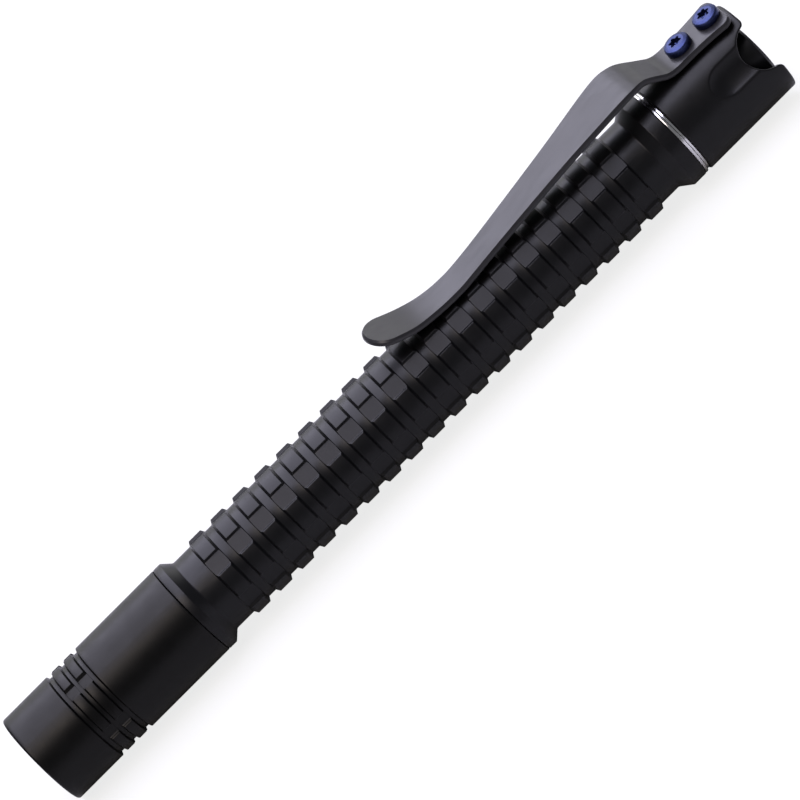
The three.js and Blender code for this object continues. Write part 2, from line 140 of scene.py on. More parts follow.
def piece(name, points, faces, finish, body, replaces=()):
    """A closed mesh in the row frame, facing out, that rides on a body, if one is given."""
    mesh = bpy.data.meshes.new(name)
    mesh.from_pydata(shift(points).tolist(), [], faces)
    work = bmesh.new()
    work.from_mesh(mesh)
    bmesh.ops.remove_doubles(work, verts=work.verts, dist=1e-7)
    if work.calc_volume(signed=True) < 0:
        bmesh.ops.reverse_faces(work, faces=work.faces)
    work.to_mesh(mesh)
    work.free()
    mesh.shade_smooth()
    mesh.set_sharp_from_angle(angle=math.radians(SHARP_ANGLE))
    mesh.materials.append(finish)
    obj = bpy.data.objects.new(name, mesh)
    bpy.context.scene.collection.objects.link(obj)
    weighted = obj.modifiers.new("even_normals", "WEIGHTED_NORMAL")
    weighted.keep_sharp = True
    if body:
        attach(obj, body)
    if replaces:
        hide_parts(*replaces)
    return obj


def stretching_spring(name, node, coils):
    """A coil over a CAD spring's span, in its place. It rides on no body."""
    x0, x1 = span(node)
    thickness = coils["thickness"]
    points, faces = wire(coil(x0, x1, **coils), thickness)
    obj = piece(name, points, faces, WIRE, None, [node])
    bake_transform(obj)


def skin(rows, columns, closed):
    """Quads over a grid of points whose columns close on themselves, and whose rows may too."""
    faces = []
    for i in range(rows if closed else rows - 1):
        for j in range(columns):
            a, b = i * columns, (i + 1) % rows * columns
            k = (j + 1) % columns
            faces.append((a + j, a + k, b + k, b + j))
    return faces


def polar(x, r, angle):
    """Points from stations, radii and angles in degrees."""
    x, r, angle = np.broadcast_arrays(x, r, np.radians(angle))
    return np.stack([x, -r * np.cos(angle), r * np.sin(angle)], axis=-1)


def plane_radius(distance, normal, angle):
    """How far from the axis a plane is at an angle, given its distance and its normal's angle."""
    return distance / math.cos(math.radians(angle - normal))


def section_radius(corners, angles, blur=0.35):
    """A turned section's radius at angles. A corner is (angle, radius, whether a flat or an arc follows).

    Averaging over a little more than blur either way rounds the section's edges.
    """
    start = np.array([corner[0] for corner in corners])
    radius = np.array([corner[1] for corner in corners])
    flat = np.array([corner[2] for corner in corners])
    total = 0
    offsets = np.linspace(-blur, blur, 7)
    for offset in offsets:
        angle = (angles + offset - start[0]) % 360 + start[0]
        i = np.searchsorted(start, angle, side="right") - 1
        k = (i + 1) % len(corners)
        width = np.radians((start[k] - start[i]) % 360)
        into = np.radians(angle - start[i])
        chord = radius[i] * radius[k] * np.sin(width)
        chord = chord / (radius[i] * np.sin(into) + radius[k] * np.sin(width - into))
        total = total + np.where(flat[i], chord, radius[i])
    return total / len(offsets)


def section_columns(corners, step):
    """Angles round a section: evenly spaced, and closer together at its corners."""
    near = (-0.7, -0.35, -0.15, 0, 0.15, 0.35, 0.7)
    close = [corner[0] + offset for corner in corners for offset in near]
    angles = np.concatenate([np.arange(0, 360, step), close]) % 360
    angles = np.unique(np.round(angles, 2))
    return angles[np.append(np.diff(angles) > 0.1, True)]


def rounded(corners, fillet=0.12, steps=4, closed=False):
    """A profile with its corners turned into arcs. A corner is (x, r) or (x, r, its own fillet).

    A corner on a straight run stays a plain point. It keeps the shading of the run's ends from spreading.
    """
    out = []
    count = len(corners)
    for i, corner in enumerate(corners):
        here = np.array(corner[:2], float)
        if not closed and i in (0, count - 1):
            out.append(here)
            continue
        before = np.array(corners[i - 1][:2], float) - here
        after = np.array(corners[(i + 1) % count][:2], float) - here
        reach = min(np.linalg.norm(before), np.linalg.norm(after)) * 0.49
        before /= np.linalg.norm(before)
        after /= np.linalg.norm(after)
        if before @ after < -0.99999:
            out.append(here)
            continue
        half = math.acos(np.clip(before @ after, -1, 1)) / 2
        size = corner[2] if len(corner) > 2 else fillet
        along = min(size / math.tan(half), reach)
        centre = here + (before + after) / np.linalg.norm(before + after) * along / math.cos(half)
        sweep = math.pi / 2 - half
        middle = (here - centre) / np.linalg.norm(here - centre)
        side = before - (before @ middle) * middle
        side /= np.linalg.norm(side)
        size = along * math.tan(half)
        for t in np.linspace(sweep, -sweep, steps):
            out.append(centre + size * (math.cos(t) * middle + math.sin(t) * side))
    return np.array(out)


def turned(name, corners, finish, body, replaces=(), columns=128, fillet=0.12):
    """A lathe-turned piece. Its profile starts and ends on the axis, or closes on itself."""
    closed = all(corner[1] > 0 for corner in corners)
    points, faces = lathe(rounded(corners, fillet, closed=closed), columns, closed)
    piece(name, points, faces, finish, body, replaces)


def lathe(profile, columns, closed=False):
    """Points and faces of a profile turned round the pen's axis."""
    angles = np.arange(columns) * 360 / columns
    points = polar(profile[:, :1], profile[:, 1:], angles[None, :])
    return points.reshape(-1, 3), skin(len(profile), columns, closed)


def spline(points, count):
    """A smooth line through points, evenly spaced in its own parameter (uniform Catmull-Rom)."""
    points = np.asarray(points, float)
    padded = np.vstack([points[0], points, points[-1]])
    t = np.linspace(0, len(points) - 1, count)
    i = np.minimum(t.astype(int), len(points) - 2)
    f = (t - i)[:, None]
    a, b, c, d = (padded[i + k] for k in range(4))
    v0, v1 = (c - a) / 2, (d - b) / 2
    return (2 * b - 2 * c + v0 + v1) * f**3 + (-3 * b + 3 * c - 2 * v0 - v1) * f**2 + v0 * f + b


def edge_arc(size, steps):
    """A rounded edge's quarter arc: how deep each point lies under one face, and under the other."""
    turn = np.linspace(math.pi / 2, 0, steps)
    return [(size * (1 - math.cos(t)), size * (1 - math.sin(t))) for t in turn]


def slab(outline, low, high, edge, axis="z"):
    """Points and faces of a plate with rounded upper and lower edges, from a convex outline."""
    outline = np.asarray(outline, float)
    centre = outline.mean(0)
    after, before = np.roll(outline, -1, 0), np.roll(outline, 1, 0)
    along = (after - before) / np.linalg.norm(after - before, axis=1)[:, None]
    inward = np.stack([-along[:, 1], along[:, 0]], 1)
    if ((centre - outline) * inward).sum() < 0:
        inward = -inward
    arc = edge_arc(edge, 4)
    levels = [(inset, low + rise) for inset, rise in arc]
    levels += [(inset, high - rise) for inset, rise in reversed(arc)]
    rows = [(np.tile(centre, (len(outline), 1)), low)]
    rows += [(outline + inward * inset, height) for inset, height in levels]
    rows.append((np.tile(centre, (len(outline), 1)), high))
    points = np.vstack([np.column_stack([flat, np.full(len(flat), height)]) for flat, height in rows])
    if axis == "x":
        points = points[:, [2, 0, 1]]
    return points, skin(len(rows), len(outline), False)


def rounded_box(half_a, half_b, corner, centre=(0, 0), steps=5):
    """The outline of a rectangle with rounded corners."""
    outline = []
    for quarter, (sa, sb) in enumerate(((1, 1), (-1, 1), (-1, -1), (1, -1))):
        for t in np.linspace(0, 90, steps):
            angle = math.radians(90 * quarter + t)
            a = centre[0] + sa * (half_a - corner) + corner * math.cos(angle)
            b = centre[1] + sb * (half_b - corner) + corner * math.sin(angle)
            outline.append((a, b))
    return outline


def joined(parts):
    """Several lists of points and faces as one."""
    points, faces = [], []
    for part_points, part_faces in parts:
        start = sum(len(p) for p in points)
        points.append(np.asarray(part_points, float))
        faces += [tuple(start + v for v in face) for face in part_faces]
    return np.vstack(points), faces


def wire(path, thickness, sides=12):
    """Points and faces of a round wire along a path, closed at both ends. thickness is its radius."""
    path = np.asarray(path, float)
    along = np.gradient(path, axis=0)
    along /= np.linalg.norm(along, axis=1)[:, None]
    axis = np.array([1.0, 0, 0])
    across = np.cross(along, axis)
    across /= np.linalg.norm(across, axis=1)[:, None]
    up = np.cross(across, along)
    ring = np.radians(np.arange(sides) * 360 / sides)
    rows = [np.tile(path[0], (sides, 1))]
    for centre, a, b in zip(path, across, up):
        rows.append(centre + thickness * (np.cos(ring)[:, None] * a + np.sin(ring)[:, None] * b))
    rows.append(np.tile(path[-1], (sides, 1)))
    return np.vstack(rows), skin(len(rows), sides, False)


def coil(x0, x1, r0, r1, turns, thickness, closed_turns=0.9):
    """A compression spring's path: each end turn lies flat, and the pitch opens between them."""
    t = np.linspace(0, turns, int(turns * 40))
    closed_pitch = 2 * thickness * 0.9975
    low, high = x0 + thickness, x1 - thickness
    flat = np.clip(t, 0, closed_turns) + np.clip(t - turns + closed_turns, 0, closed_turns)
    rise = np.clip((t - closed_turns) / (turns - 2 * closed_turns), 0, 1)
    x = low + flat * closed_pitch + rise * (high - low - 2 * closed_turns * closed_pitch)
    r = r0 + (r1 - r0) * (x - low) / (high - low)
    return np.column_stack([x, r * np.cos(2 * math.pi * t), r * np.sin(2 * math.pi * t)])


# ---- Materials ------------------------------------------------------------------------------------


class Recipe:
    """A Principled material whose textures are placed in the row frame, in metres."""

    def __init__(self, name, **constants):
        self.material = bpy.data.materials.new(name)
        self.material.use_nodes = True
        self.tree = self.material.node_tree
        self.shader = self.tree.nodes["Principled BSDF"]
        self.where = self.tree.nodes.new("ShaderNodeTexCoord").outputs["Object"]
        for socket, value in constants.items():
            self.shader.inputs[self.socket_name(socket)].default_value = value

    @staticmethod
    def socket_name(word):
        return word.replace("_", " ").title().replace("Ior", "IOR")

    def node(self, kind, **inputs):
        made = self.tree.nodes.new("ShaderNode" + kind)
        for name, value in inputs.items():
            socket = made.inputs[self.socket_name(name)]
            if isinstance(value, bpy.types.NodeSocket):
                self.tree.links.new(value, socket)
            else:
                socket.default_value = value
        return made

    def stretched(self, scale):
        mapping = self.tree.nodes.new("ShaderNodeMapping")
        self.tree.links.new(self.where, mapping.inputs["Vector"])
        mapping.inputs["Scale"].default_value = scale
        return mapping.outputs["Vector"]

    def noise(self, size_mm, detail=3.0, roughness=0.55, stretch=(1, 1, 1)):
        """Cloudy noise whose largest blotches are about size_mm across."""
        made = self.node(
            "TexNoise", vector=self.stretched(stretch), scale=1 / (size_mm * MM),
            detail=detail, roughness=roughness,
        )
        return made.outputs["Fac"]

    def between(self, value, low, high, start=0.3, end=0.7):
        made = self.node("MapRange", value=value, from_min=start, from_max=end, to_min=low, to_max=high)
        return made.outputs["Result"]

    def blend(self, value, *stops):
        """A colour ramp over evenly spaced stops."""
        made = self.tree.nodes.new("ShaderNodeValToRGB")
        self.tree.links.new(value, made.inputs["Fac"])
        ramp = made.color_ramp
        while len(ramp.elements) < len(stops):
            ramp.elements.new(0.5)
        for i, color in enumerate(stops):
            ramp.elements[i].position = 0.3 + 0.4 * i / (len(stops) - 1)
            ramp.elements[i].color = (*color, 1)
        return made.outputs["Color"]

    def feed(self, socket, value):
        self.tree.links.new(value, self.shader.inputs[socket])

    def bump(self, *layers):
        """Layers of (height, how tall in mm), one on top of another."""
        normal = None
        for height, tall in layers:
            made = self.tree.nodes.new("ShaderNodeBump")
            made.inputs["Distance"].default_value = tall * MM
            self.tree.links.new(height, made.inputs["Height"])
            if normal:
                self.tree.links.new(normal, made.inputs["Normal"])
            normal = made.outputs["Normal"]
        self.feed("Normal", normal)


def black_anodised(name, gloss, depth, tint):
    """Bead-blasted aluminium under a black hard anodised film: satin, nearly colourless."""
    m = Recipe(name, specular_ior_level=gloss, specular_tint=tint)
    dark, light = (depth * share for share in (0.8, 1.2))
    m.feed("Base Color", m.blend(m.noise(6), (dark, dark, dark * 1.2), (light, light, light * 1.15)))
    m.feed("Roughness", m.between(m.noise(2.5, 5), 0.32, 0.4))
    m.bump((m.noise(0.09, 2), 0.0016), (m.noise(0.5, 3), 0.0018))
    return m.material


def clip_metal():
    """Blasted spring steel under a thin dark grey coat, with faint streaks along the strip."""
    m = Recipe("clip_metal", specular_ior_level=0.285)
    m.feed("Base Color", m.blend(m.noise(9), (0.01, 0.0098, 0.011), (0.014, 0.0135, 0.015)))
    m.feed("Roughness", m.between(m.noise(1.2, 5, stretch=(0.25, 1, 1)), 0.29, 0.38))
    m.bump((m.noise(0.07, 2), 0.002), (m.noise(0.35, 3, stretch=(0.2, 1, 1)), 0.001))
    return m.material


def blue_anodised():
    """Blue-violet interference film on a turned screw."""
    m = Recipe("blue_anodised", metallic=1.0)
    m.feed("Base Color", m.blend(m.noise(1.6), (0.025, 0.033, 0.088), (0.03, 0.039, 0.104)))
    m.feed("Roughness", m.between(m.noise(0.4, 4), 0.36, 0.48))
    m.bump((m.noise(0.05, 2), 0.0012))
    return m.material


def polished_steel():
    m = Recipe("polished_steel", metallic=1.0)
    m.feed("Base Color", m.blend(m.noise(4), (0.5, 0.5, 0.51), (0.58, 0.575, 0.57)))
    m.feed("Roughness", m.between(m.noise(0.12, 3, stretch=(6, 1, 1)), 0.12, 0.2))
    m.bump((m.noise(0.04, 2, stretch=(8, 0.6, 0.6)), 0.0006))
    return m.material


def spring_wire():
    m = Recipe("spring_wire", metallic=1.0)
    m.feed("Base Color", m.blend(m.noise(1.0), (0.42, 0.41, 0.39), (0.56, 0.55, 0.53)))
    m.feed("Roughness", m.between(m.noise(0.2, 4), 0.22, 0.36))
    m.bump((m.noise(0.05, 2), 0.0008))
    return m.material


def seal_rubber():
    m = Recipe("seal_rubber", ior=1.5)
    m.feed("Base Color", m.blend(m.noise(0.8), (0.012, 0.012, 0.012), (0.02, 0.02, 0.019)))
    m.feed("Roughness", m.between(m.noise(0.3, 4), 0.45, 0.65))
    m.bump((m.noise(0.08, 3), 0.003))
    return m.material


def filter_glass():
    """Dark violet glass that lets ultraviolet through."""
    m = Recipe("filter_glass", transmission_weight=1.0, ior=1.52, roughness=0.02)
    m.feed("Base Color", m.blend(m.noise(8), (0.16, 0.08, 0.32), (0.2, 0.1, 0.36)))
    m.bump((m.noise(1.5, 1), 0.0003))
    return m.material


def mirror_coat():
    """Vacuum-metallised plastic with a faint orange peel."""
    m = Recipe("mirror_coat", metallic=1.0)
    m.feed("Base Color", m.blend(m.noise(3), (0.86, 0.86, 0.87), (0.9, 0.9, 0.9)))
    m.feed("Roughness", m.between(m.noise(1.0, 3), 0.05, 0.11))
    m.bump((m.noise(0.5, 2), 0.004))
    return m.material


def turned_brass():
    m = Recipe("turned_brass", metallic=1.0)
    m.feed("Base Color", m.blend(m.noise(3), (0.6, 0.4, 0.15), (0.68, 0.48, 0.2)))
    m.feed("Roughness", m.between(m.noise(0.15, 4, stretch=(5, 1, 1)), 0.25, 0.4))
    m.bump((m.noise(0.08, 2, stretch=(6, 0.6, 0.6)), 0.0015))
    return m.material


def copper_board():
    m = Recipe("copper_board", metallic=1.0)
    m.feed("Base Color", m.blend(m.noise(2), (0.55, 0.25, 0.13), (0.66, 0.34, 0.2)))
    m.feed("Roughness", m.between(m.noise(0.5, 4), 0.3, 0.5))
    m.bump((m.noise(0.1, 3), 0.002))
    return m.material


def emitter_ceramic():
    m = Recipe("emitter_ceramic", ior=1.45)
    m.feed("Base Color", m.blend(m.noise(0.6), (0.72, 0.68, 0.5), (0.82, 0.78, 0.62)))
    m.feed("Roughness", m.between(m.noise(0.2, 3), 0.2, 0.35))
    m.bump((m.noise(0.1, 2), 0.001))
    return m.material


def green_board():
    m = Recipe("green_board", ior=1.5)
    m.feed("Base Color", m.blend(m.noise(1.5), (0.012, 0.09, 0.035), (0.02, 0.13, 0.05)))
    m.feed("Roughness", m.between(m.noise(0.4, 4), 0.3, 0.45))
    m.bump((m.noise(0.4, 3, stretch=(1, 2, 0.5)), 0.008))
    return m.material


def cell_film():
    """Plain dark shrink film over a cell's can."""
    m = Recipe("cell_film", ior=1.5)
    m.feed("Base Color", m.blend(m.noise(12), (0.02, 0.035, 0.1), (0.03, 0.05, 0.13)))
    m.feed("Roughness", m.between(m.noise(3, 4), 0.2, 0.32))
    m.bump((m.noise(1.5, 2, stretch=(1, 0.3, 0.3)), 0.01))
    return m.material


def switch_plastic():
    m = Recipe("switch_plastic", ior=1.46)
    m.feed("Base Color", m.blend(m.noise(1.5), (0.012, 0.012, 0.013), (0.02, 0.02, 0.021)))
    m.feed("Roughness", m.between(m.noise(0.5, 4), 0.4, 0.55))
    m.bump((m.noise(0.12, 3), 0.004))
    return m.material


BLACK = black_anodised("black_anodised", 0.185, 0.0023, (1, 1, 1, 1))
# The head's copy of the black finish has a darker base colour, less gloss and a warm gloss tint. This is
# painted shade and a painted warm sheen for the dimmer, warmer light on the head.
HEAD_SHADED_BLACK = black_anodised("head_black_anodised_painted_shade", 0.157, 0.0006, (1.0, 0.985, 0.95, 1))
CLIP_METAL = clip_metal()
BLUE = blue_anodised()
STEEL = polished_steel()
WIRE = spring_wire()
RUBBER = seal_rubber()
GLASS = filter_glass()
MIRROR = mirror_coat()
BRASS = turned_brass()
COPPER = copper_board()
CERAMIC = emitter_ceramic()
GREEN = green_board()
FILM = cell_film()
PLASTIC = switch_plastic()

# ---- Head -----------------------------------------------------------------------------------------


def band_section():
    """The raised bands' section: pairs of small flats, each ending in a wall with a ledge half way up."""
    distance, normal = BAND_FLAT["distance"], BAND_FLAT["normal"]
    inner, foot, outer = BAND_FLAT["inner"], BAND_FLAT["foot"], BAND_FLAT["outer"]
    deep = plane_radius(distance, normal, foot)
    side = [
        (inner - 0.25, HEAD_RADIUS, True),
        (inner, plane_radius(distance, normal, inner), True),
        (foot, deep, True),
        (foot + 0.8, deep + 0.2, True),
        (foot + 1.4, deep + 0.22, True),
        (outer, HEAD_RADIUS, False),
    ]
    mirrored = [(-angle, radius) for angle, radius, _ in side[::-1]]
    corners = []
    for centre in BAND_FLAT["angles"]:
        before = [(centre + angle, radius, True) for angle, radius in mirrored[:-1]]
        before.append((centre + mirrored[-1][0], mirrored[-1][1], False))
        corners += before + [(centre + angle, radius, flat) for angle, radius, flat in side]
    return corners


def head_profile(band):
    """The head's outline where the two raised bands stand at radius band."""
    root = BANDS["root"]
    lean = 0.2 / (HEAD_RADIUS - root)
    opening, flare, wall = (FRONT_OPENING[key] for key in ("radius", "flare", "wall"))
    front, back = BANDS["grooves"][0][0], BANDS["grooves"][-1][1]
    outside = [(0, HEAD_RADIUS, 0.32), (0.8, HEAD_RADIUS), (front - 0.5, HEAD_RADIUS)]
    tops = [(HEAD_RADIUS, band), (band, band), (band, HEAD_RADIUS)]
    for (before, after), (x0, x1) in zip(tops, BANDS["grooves"]):
        outside += [
            (x0 + 0.1 - lean * (before - root), before, 0.08),
            (x0 + 0.1, root, 0.06),
            (x1 - 0.1, root, 0.06),
            (x1 - 0.1 + lean * (after - root), after, 0.12),
        ]
    outside += [(back + 0.5, HEAD_RADIUS), (SEAM - 0.5, HEAD_RADIUS)]
    inside = [
        (SEAM, HEAD_RADIUS, 0.1),
        (SEAM, THREAD["bore"], 0.2),
        (HEAD_END - THREAD["depth"], THREAD["bore"], 0.05),
        (HEAD_END - THREAD["depth"], HEAD_BORE, 0.05),
        (wall, HEAD_BORE, 0.05),
        (wall, opening, 0.1),
        (flare, opening, 0.15),
        (0, opening + flare, 0.1),
    ]
    return rounded(outside + inside, closed=True)


def head_shell():
    corners = band_section()
    angles = section_columns(corners, 3.0)
    bands = section_radius(corners, angles)
    grid = np.stack([head_profile(band) for band in bands], axis=1)
    points = polar(grid[..., 0], grid[..., 1], angles[None, :])
    faces = skin(grid.shape[0], grid.shape[1], True)
    piece("head_body", points.reshape(-1, 3), faces, HEAD_SHADED_BLACK, "head", ["head_shell"])


def lens_and_reflector():
    x0, x1 = span("lens")
    r = radius_of("lens")
    turned(
        "lens_window",
        [(x0, 0), (x0, r, 0.15), (x1, r, 0.15), (x1, 0)],
        GLASS, "head", ["lens"],
    )
    o_ring("lens_seal", "lens_o_ring", 5.9, 0.36, "head")
    front, back = span("reflector")
    depth, throat, flare = 7.6, 2.7, 3.1
    bowl = [
        (front + depth * (1 - t * t), throat + flare * (1 - t * t) ** 0.5)
        for t in np.linspace(0, 1, 20)
    ]
    outside = [(back, 3.6), (front + 5.2, 4.7), (front + 2.2, 5.95), (front + 1.2, r), (front, r)]
    mouth = [(front, 5.85)]
    turned(
        "reflector_cup", mouth + bowl + outside,
        MIRROR, "head", ["reflector"], fillet=0.05,
    )


def o_ring(name, node, r, size, body):
    """A rubber seal: r is the radius of its centre line, and size that of its section."""
    x = sum(span(node)) / 2
    turn = np.radians(np.arange(0, 360, 18))
    section = [(x + size * math.cos(t), r + size * math.sin(t)) for t in turn]
    turned(name, section, RUBBER, body, [node], fillet=0.01)


head_shell()
lens_and_reflector()


# ---- Light engine ---------------------------------------------------------------------------------


def light_engine():
    x0, x1 = span("emitter_board")
    r = radius_of("emitter_board")
    turned(
        "emitter_plate", [(x0, 0), (x0, r), (x1, r), (x1, 0)],
        COPPER, "light_engine", ["emitter_board"],
    )
    led_front, led_back = span("uv_emitter")
    dome_start = led_back - 1.0
    base = slab(rounded_box(1.72, 1.72, 0.15), dome_start, led_back, 0.06, "x")
    profile = [(led_front, 0), (led_front + 0.02, 0.5, 0.6), (dome_start, 1.45, 0.2), (dome_start, 0)]
    points, faces = joined([base, lathe(rounded(profile), 48)])
    piece("emitter_body", points, faces, CERAMIC, "light_engine", ["uv_emitter"])
    x0, x1 = span("heat_sink")
    r, bore, floor = 6.2, 5.3, x0 + 2.1
    turned(
        "heat_sink_cup",
        [(x0, 0), (x0, r, 0.3), (x1, r, 0.2), (x1, bore, 0.15), (floor, bore, 0.3), (floor, 0)],
        BRASS, "light_engine", ["heat_sink"],
    )
    board("driver_disc", "driver_board", "light_engine")
    coils = dict(r0=2.7, r1=1.6, turns=3.5, thickness=0.28, closed_turns=0.7)
    stretching_spring("contact_coil", "contact_spring", coils)


def board(name, node, body):
    """A round circuit board with a few small parts soldered round its rear face."""
    x0, x1 = span(node)
    r = radius_of(node)
    rear = x1 - 0.45
    profile = [(x0, 0), (x0, r, 0.08), (rear, r, 0.08), (rear, 0)]
    parts = [lathe(rounded(profile), 120)]
    for i in range(6):
        angle = math.radians(60 * i + 20)
        centre = (-0.72 * r * math.cos(angle), 0.72 * r * math.sin(angle))
        half = (0.8, 0.42) if i % 2 else (0.5, 0.5)
        parts.append(slab(rounded_box(*half, 0.08, centre), rear - 0.01, x1 - 0.05, 0.05, "x"))
    points, faces = joined(parts)
    piece(name, points, faces, GREEN, body, [node])


light_engine()


# ---- Battery tube ---------------------------------------------------------------------------------


def rib_section():
    """The ribs' section: round crests with flats sunk between them almost to the neck."""
    distance, normal = FLAT["distance"], FLAT["normal"]
    corners = []
    for index in range(FLAT["count"]):
        turn = index * 360 / FLAT["count"]
        corners += [
            (FLAT["crest_angle"] + turn, RIBS["crest"], True),
            (FLAT["foot"] + turn, plane_radius(distance, normal, FLAT["foot"]), True),
            (FLAT["top_foot"] + turn, plane_radius(distance, normal, FLAT["top_foot"]), True),
            (FLAT["step_angle"] + turn, RIBS["crest"], False),
        ]
    return corners


def rib_corners(index, crest):
    start = RIBS["first"] + index * RIBS["pitch"]
    end = start + RIBS["base"]
    lean = RIBS["slope"] * (crest - NECK) / (RIBS["crest"] - NECK)
    foot, edge = 0.06, 0.07
    return [
        (start, NECK, foot), (start + lean, crest, edge),
        (end - lean, crest, edge), (end, NECK, foot),
    ]


def groove_corners(x):
    """The groove that holds a seal."""
    half = SEAL["groove_width"] / 2
    male, floor = THREAD["male"], SEAL["groove"]
    walls = ((x - half, male), (x - half, floor), (x + half, floor), (x + half, male))
    return [(*corner, 0.08) for corner in walls]


def thread_rows(x0, x1, angles):
    """The rows of a helical thread between two stations: right-handed, and fading out at both ends."""
    x = np.arange(x0, x1 + 0.01, 0.05)[:, None]
    phase = (x / THREAD["pitch"] + angles[None, :] / 360) % 1
    ridge = np.clip(1.6 - np.abs(phase - 0.5) * 4.2, 0, 1)
    fade = np.clip(np.minimum(x - x0, x1 - x) / 0.35, 0, 1)
    r = THREAD["root"] + (THREAD["male"] - THREAD["root"]) * ridge * fade
    return polar(x, r, angles[None, :])


def battery_tube():
    section = rib_section()
    angles = section_columns(section, 2.5)
    front_seal, back_seal = (sum(span(node)) / 2 for node in ("head_o_ring", "tail_o_ring"))
    head_seat = SEAM + 0.1
    tube_back_face = RING_FRONT - 0.05
    root, male, land = THREAD["root"], THREAD["male"], SEAL["land"]
    step = 0.05

    def corners(crest):
        ribs = [corner for i in range(RIBS["count"]) for corner in rib_corners(i, crest)]
        return [
            (front_seal - land - step, root),
            (front_seal - land, male, 0.05),
            *groove_corners(front_seal),
            (head_seat, male, 0.05),
            (head_seat, HEAD_RADIUS, 0.1),
            (FLANGE["front_end"], HEAD_RADIUS, 0.25),
            (FLANGE["front_foot"], NECK, 0.5),
            *ribs,
            (FLANGE["back_foot"], NECK, 0.5),
            (FLANGE["back_start"], TAIL_RADIUS, 0.25),
            (tube_back_face, TAIL_RADIUS, 0.1),
            (tube_back_face, male, 0.05),
            *groove_corners(back_seal),
            (back_seal + land, male, 0.05),
            (back_seal + land + step, root),
        ]

    outer = np.stack([rounded(corners(crest)) for crest in section_radius(section, angles)], axis=1)
    rows = [
        thread_rows(TUBE_FRONT + 0.3, front_seal - land - 2 * step, angles),
        polar(outer[..., 0], outer[..., 1], angles[None, :]),
        thread_rows(back_seal + land + 2 * step, TUBE_BACK - 0.3, angles),
    ]
    mouth = [
        (TUBE_BACK - 0.25, root), (TUBE_BACK, root - 0.2, 0.08), (TUBE_BACK, BORE, 0.1),
        (TUBE_FRONT, BORE, 0.1), (TUBE_FRONT, root - 0.2, 0.08), (TUBE_FRONT + 0.25, root),
    ]
    inside = rounded(mouth)
    rows.append(polar(inside[:, :1], inside[:, 1:], angles[None, :]))
    grid = np.concatenate(rows)
    faces = skin(grid.shape[0], grid.shape[1], True)
    piece("barrel_tube", grid.reshape(-1, 3), faces, BLACK, "barrel", ["battery_tube"])
    o_ring("head_seal", "head_o_ring", SEAL["radius"], SEAL["section"], "barrel")
    o_ring("tail_seal", "tail_o_ring", SEAL["radius"], SEAL["section"], "barrel")


def cells():
    """Two AAA cells: a crimped can in film, with a bare nose and base."""
    for name, node in (("cell_a", "cell_front"), ("cell_b", "cell_rear")):
        x0, x1 = span(node)
        r = radius_of(node)
        turned(
            name + "_can",
            [(x0 + 0.02, 0), (x0 + 0.02, 1.7, 0.3), (x0 + 0.95, 1.9, 0.2), (x0 + 1.05, 4.2, 0.2),
             (x0 + 1.6, r - 0.25, 0.3), (x1 - 0.25, r - 0.25, 0.3),
             (x1 - 0.02, 4.0, 0.2), (x1 - 0.02, 0)],
            WIRE, "barrel", [node],
        )
        turned(
            name + "_film",
            [(x0 + 1.45, r - 0.6, 0.1), (x0 + 1.25, r - 0.5, 0.1), (x0 + 1.5, r, 0.2),
             (x1 - 0.2, r, 0.25), (x1 - 0.1, r - 0.7, 0.1), (x1 - 0.4, r - 0.5, 0.1),
             (x0 + 2.2, r - 0.24, 0.1)],
            FILM, "barrel",
        )


def steel_ring():
    """The bright ring between barrel and cap: a crowned bead in front of a lower shoulder."""
    middle = (RING_FRONT + RING_BACK) / 2
    bore, r = 6.6, radius_of("steel_ring")
    low = r - 0.3
    turned(
        "bright_ring",
        [(RING_FRONT, bore, 0.05), (RING_FRONT, r - 0.06, 0.08), (RING_FRONT + 0.2, r, 0.5),
         (middle, r - 0.05, 0.12), (middle + 0.1, low, 0.05), (RING_BACK, low, 0.05),
         (RING_BACK, bore, 0.05)],
        STEEL, "ring_carrier", ["steel_ring"], columns=192,
    )


battery_tube()
cells()
steel_ring()


# ---- Tail cap -------------------------------------------------------------------------------------


def notch_outline(inset):
    """Stations and sideways distances round a notch and its two rounded corners, moved in by inset."""
    radius, corner = NOTCH["radius"], NOTCH["corner"]
    side = math.sqrt((radius + corner) ** 2 - corner**2)
    lean = math.atan2(side, corner)
    arcs = (
        (LENGTH - corner, -side, corner, np.linspace(0, lean, 10)[:-1]),
        (LENGTH, 0, -radius, np.linspace(lean, -lean, 56)),
        (LENGTH - corner, side, corner, np.linspace(-lean, 0, 10)[1:]),
    )
    stations = [x + (size - inset) * np.cos(turn) for x, _, size, turn in arcs]
    sideways = [y + (size - inset) * np.sin(turn) for _, y, size, turn in arcs]
    return np.concatenate(stations), np.concatenate(sideways)


TIP_COLUMNS = 10
OUTER_EDGE = 0.3
INNER_EDGE = 0.2


def rim(radii, inset=0.0):
    """The rim moved into the metal by inset: stations and angles of its columns at their radii.

    Each notch has a third of the columns, which reach to the middles of the petals' flat tips beside it.
    """
    x, sideways = notch_outline(inset)
    flat = np.full(TIP_COLUMNS, LENGTH - inset)
    station = np.concatenate([flat, x, flat[1:]])
    radii = np.broadcast_to(radii, len(station) * len(NOTCH["angles"])).reshape(-1, len(station))
    angles = []
    for centre, r in zip(NOTCH["angles"], radii):
        share = sideways / r[TIP_COLUMNS:TIP_COLUMNS + len(x)]
        middle = np.degrees(np.arcsin(np.clip(share, -1, 1)))
        tip = np.linspace(-60, middle[0], TIP_COLUMNS, endpoint=False)
        angles.append(centre + np.concatenate([tip, middle, -tip[:0:-1]]))
    return np.tile(station, len(angles)), np.concatenate(angles)


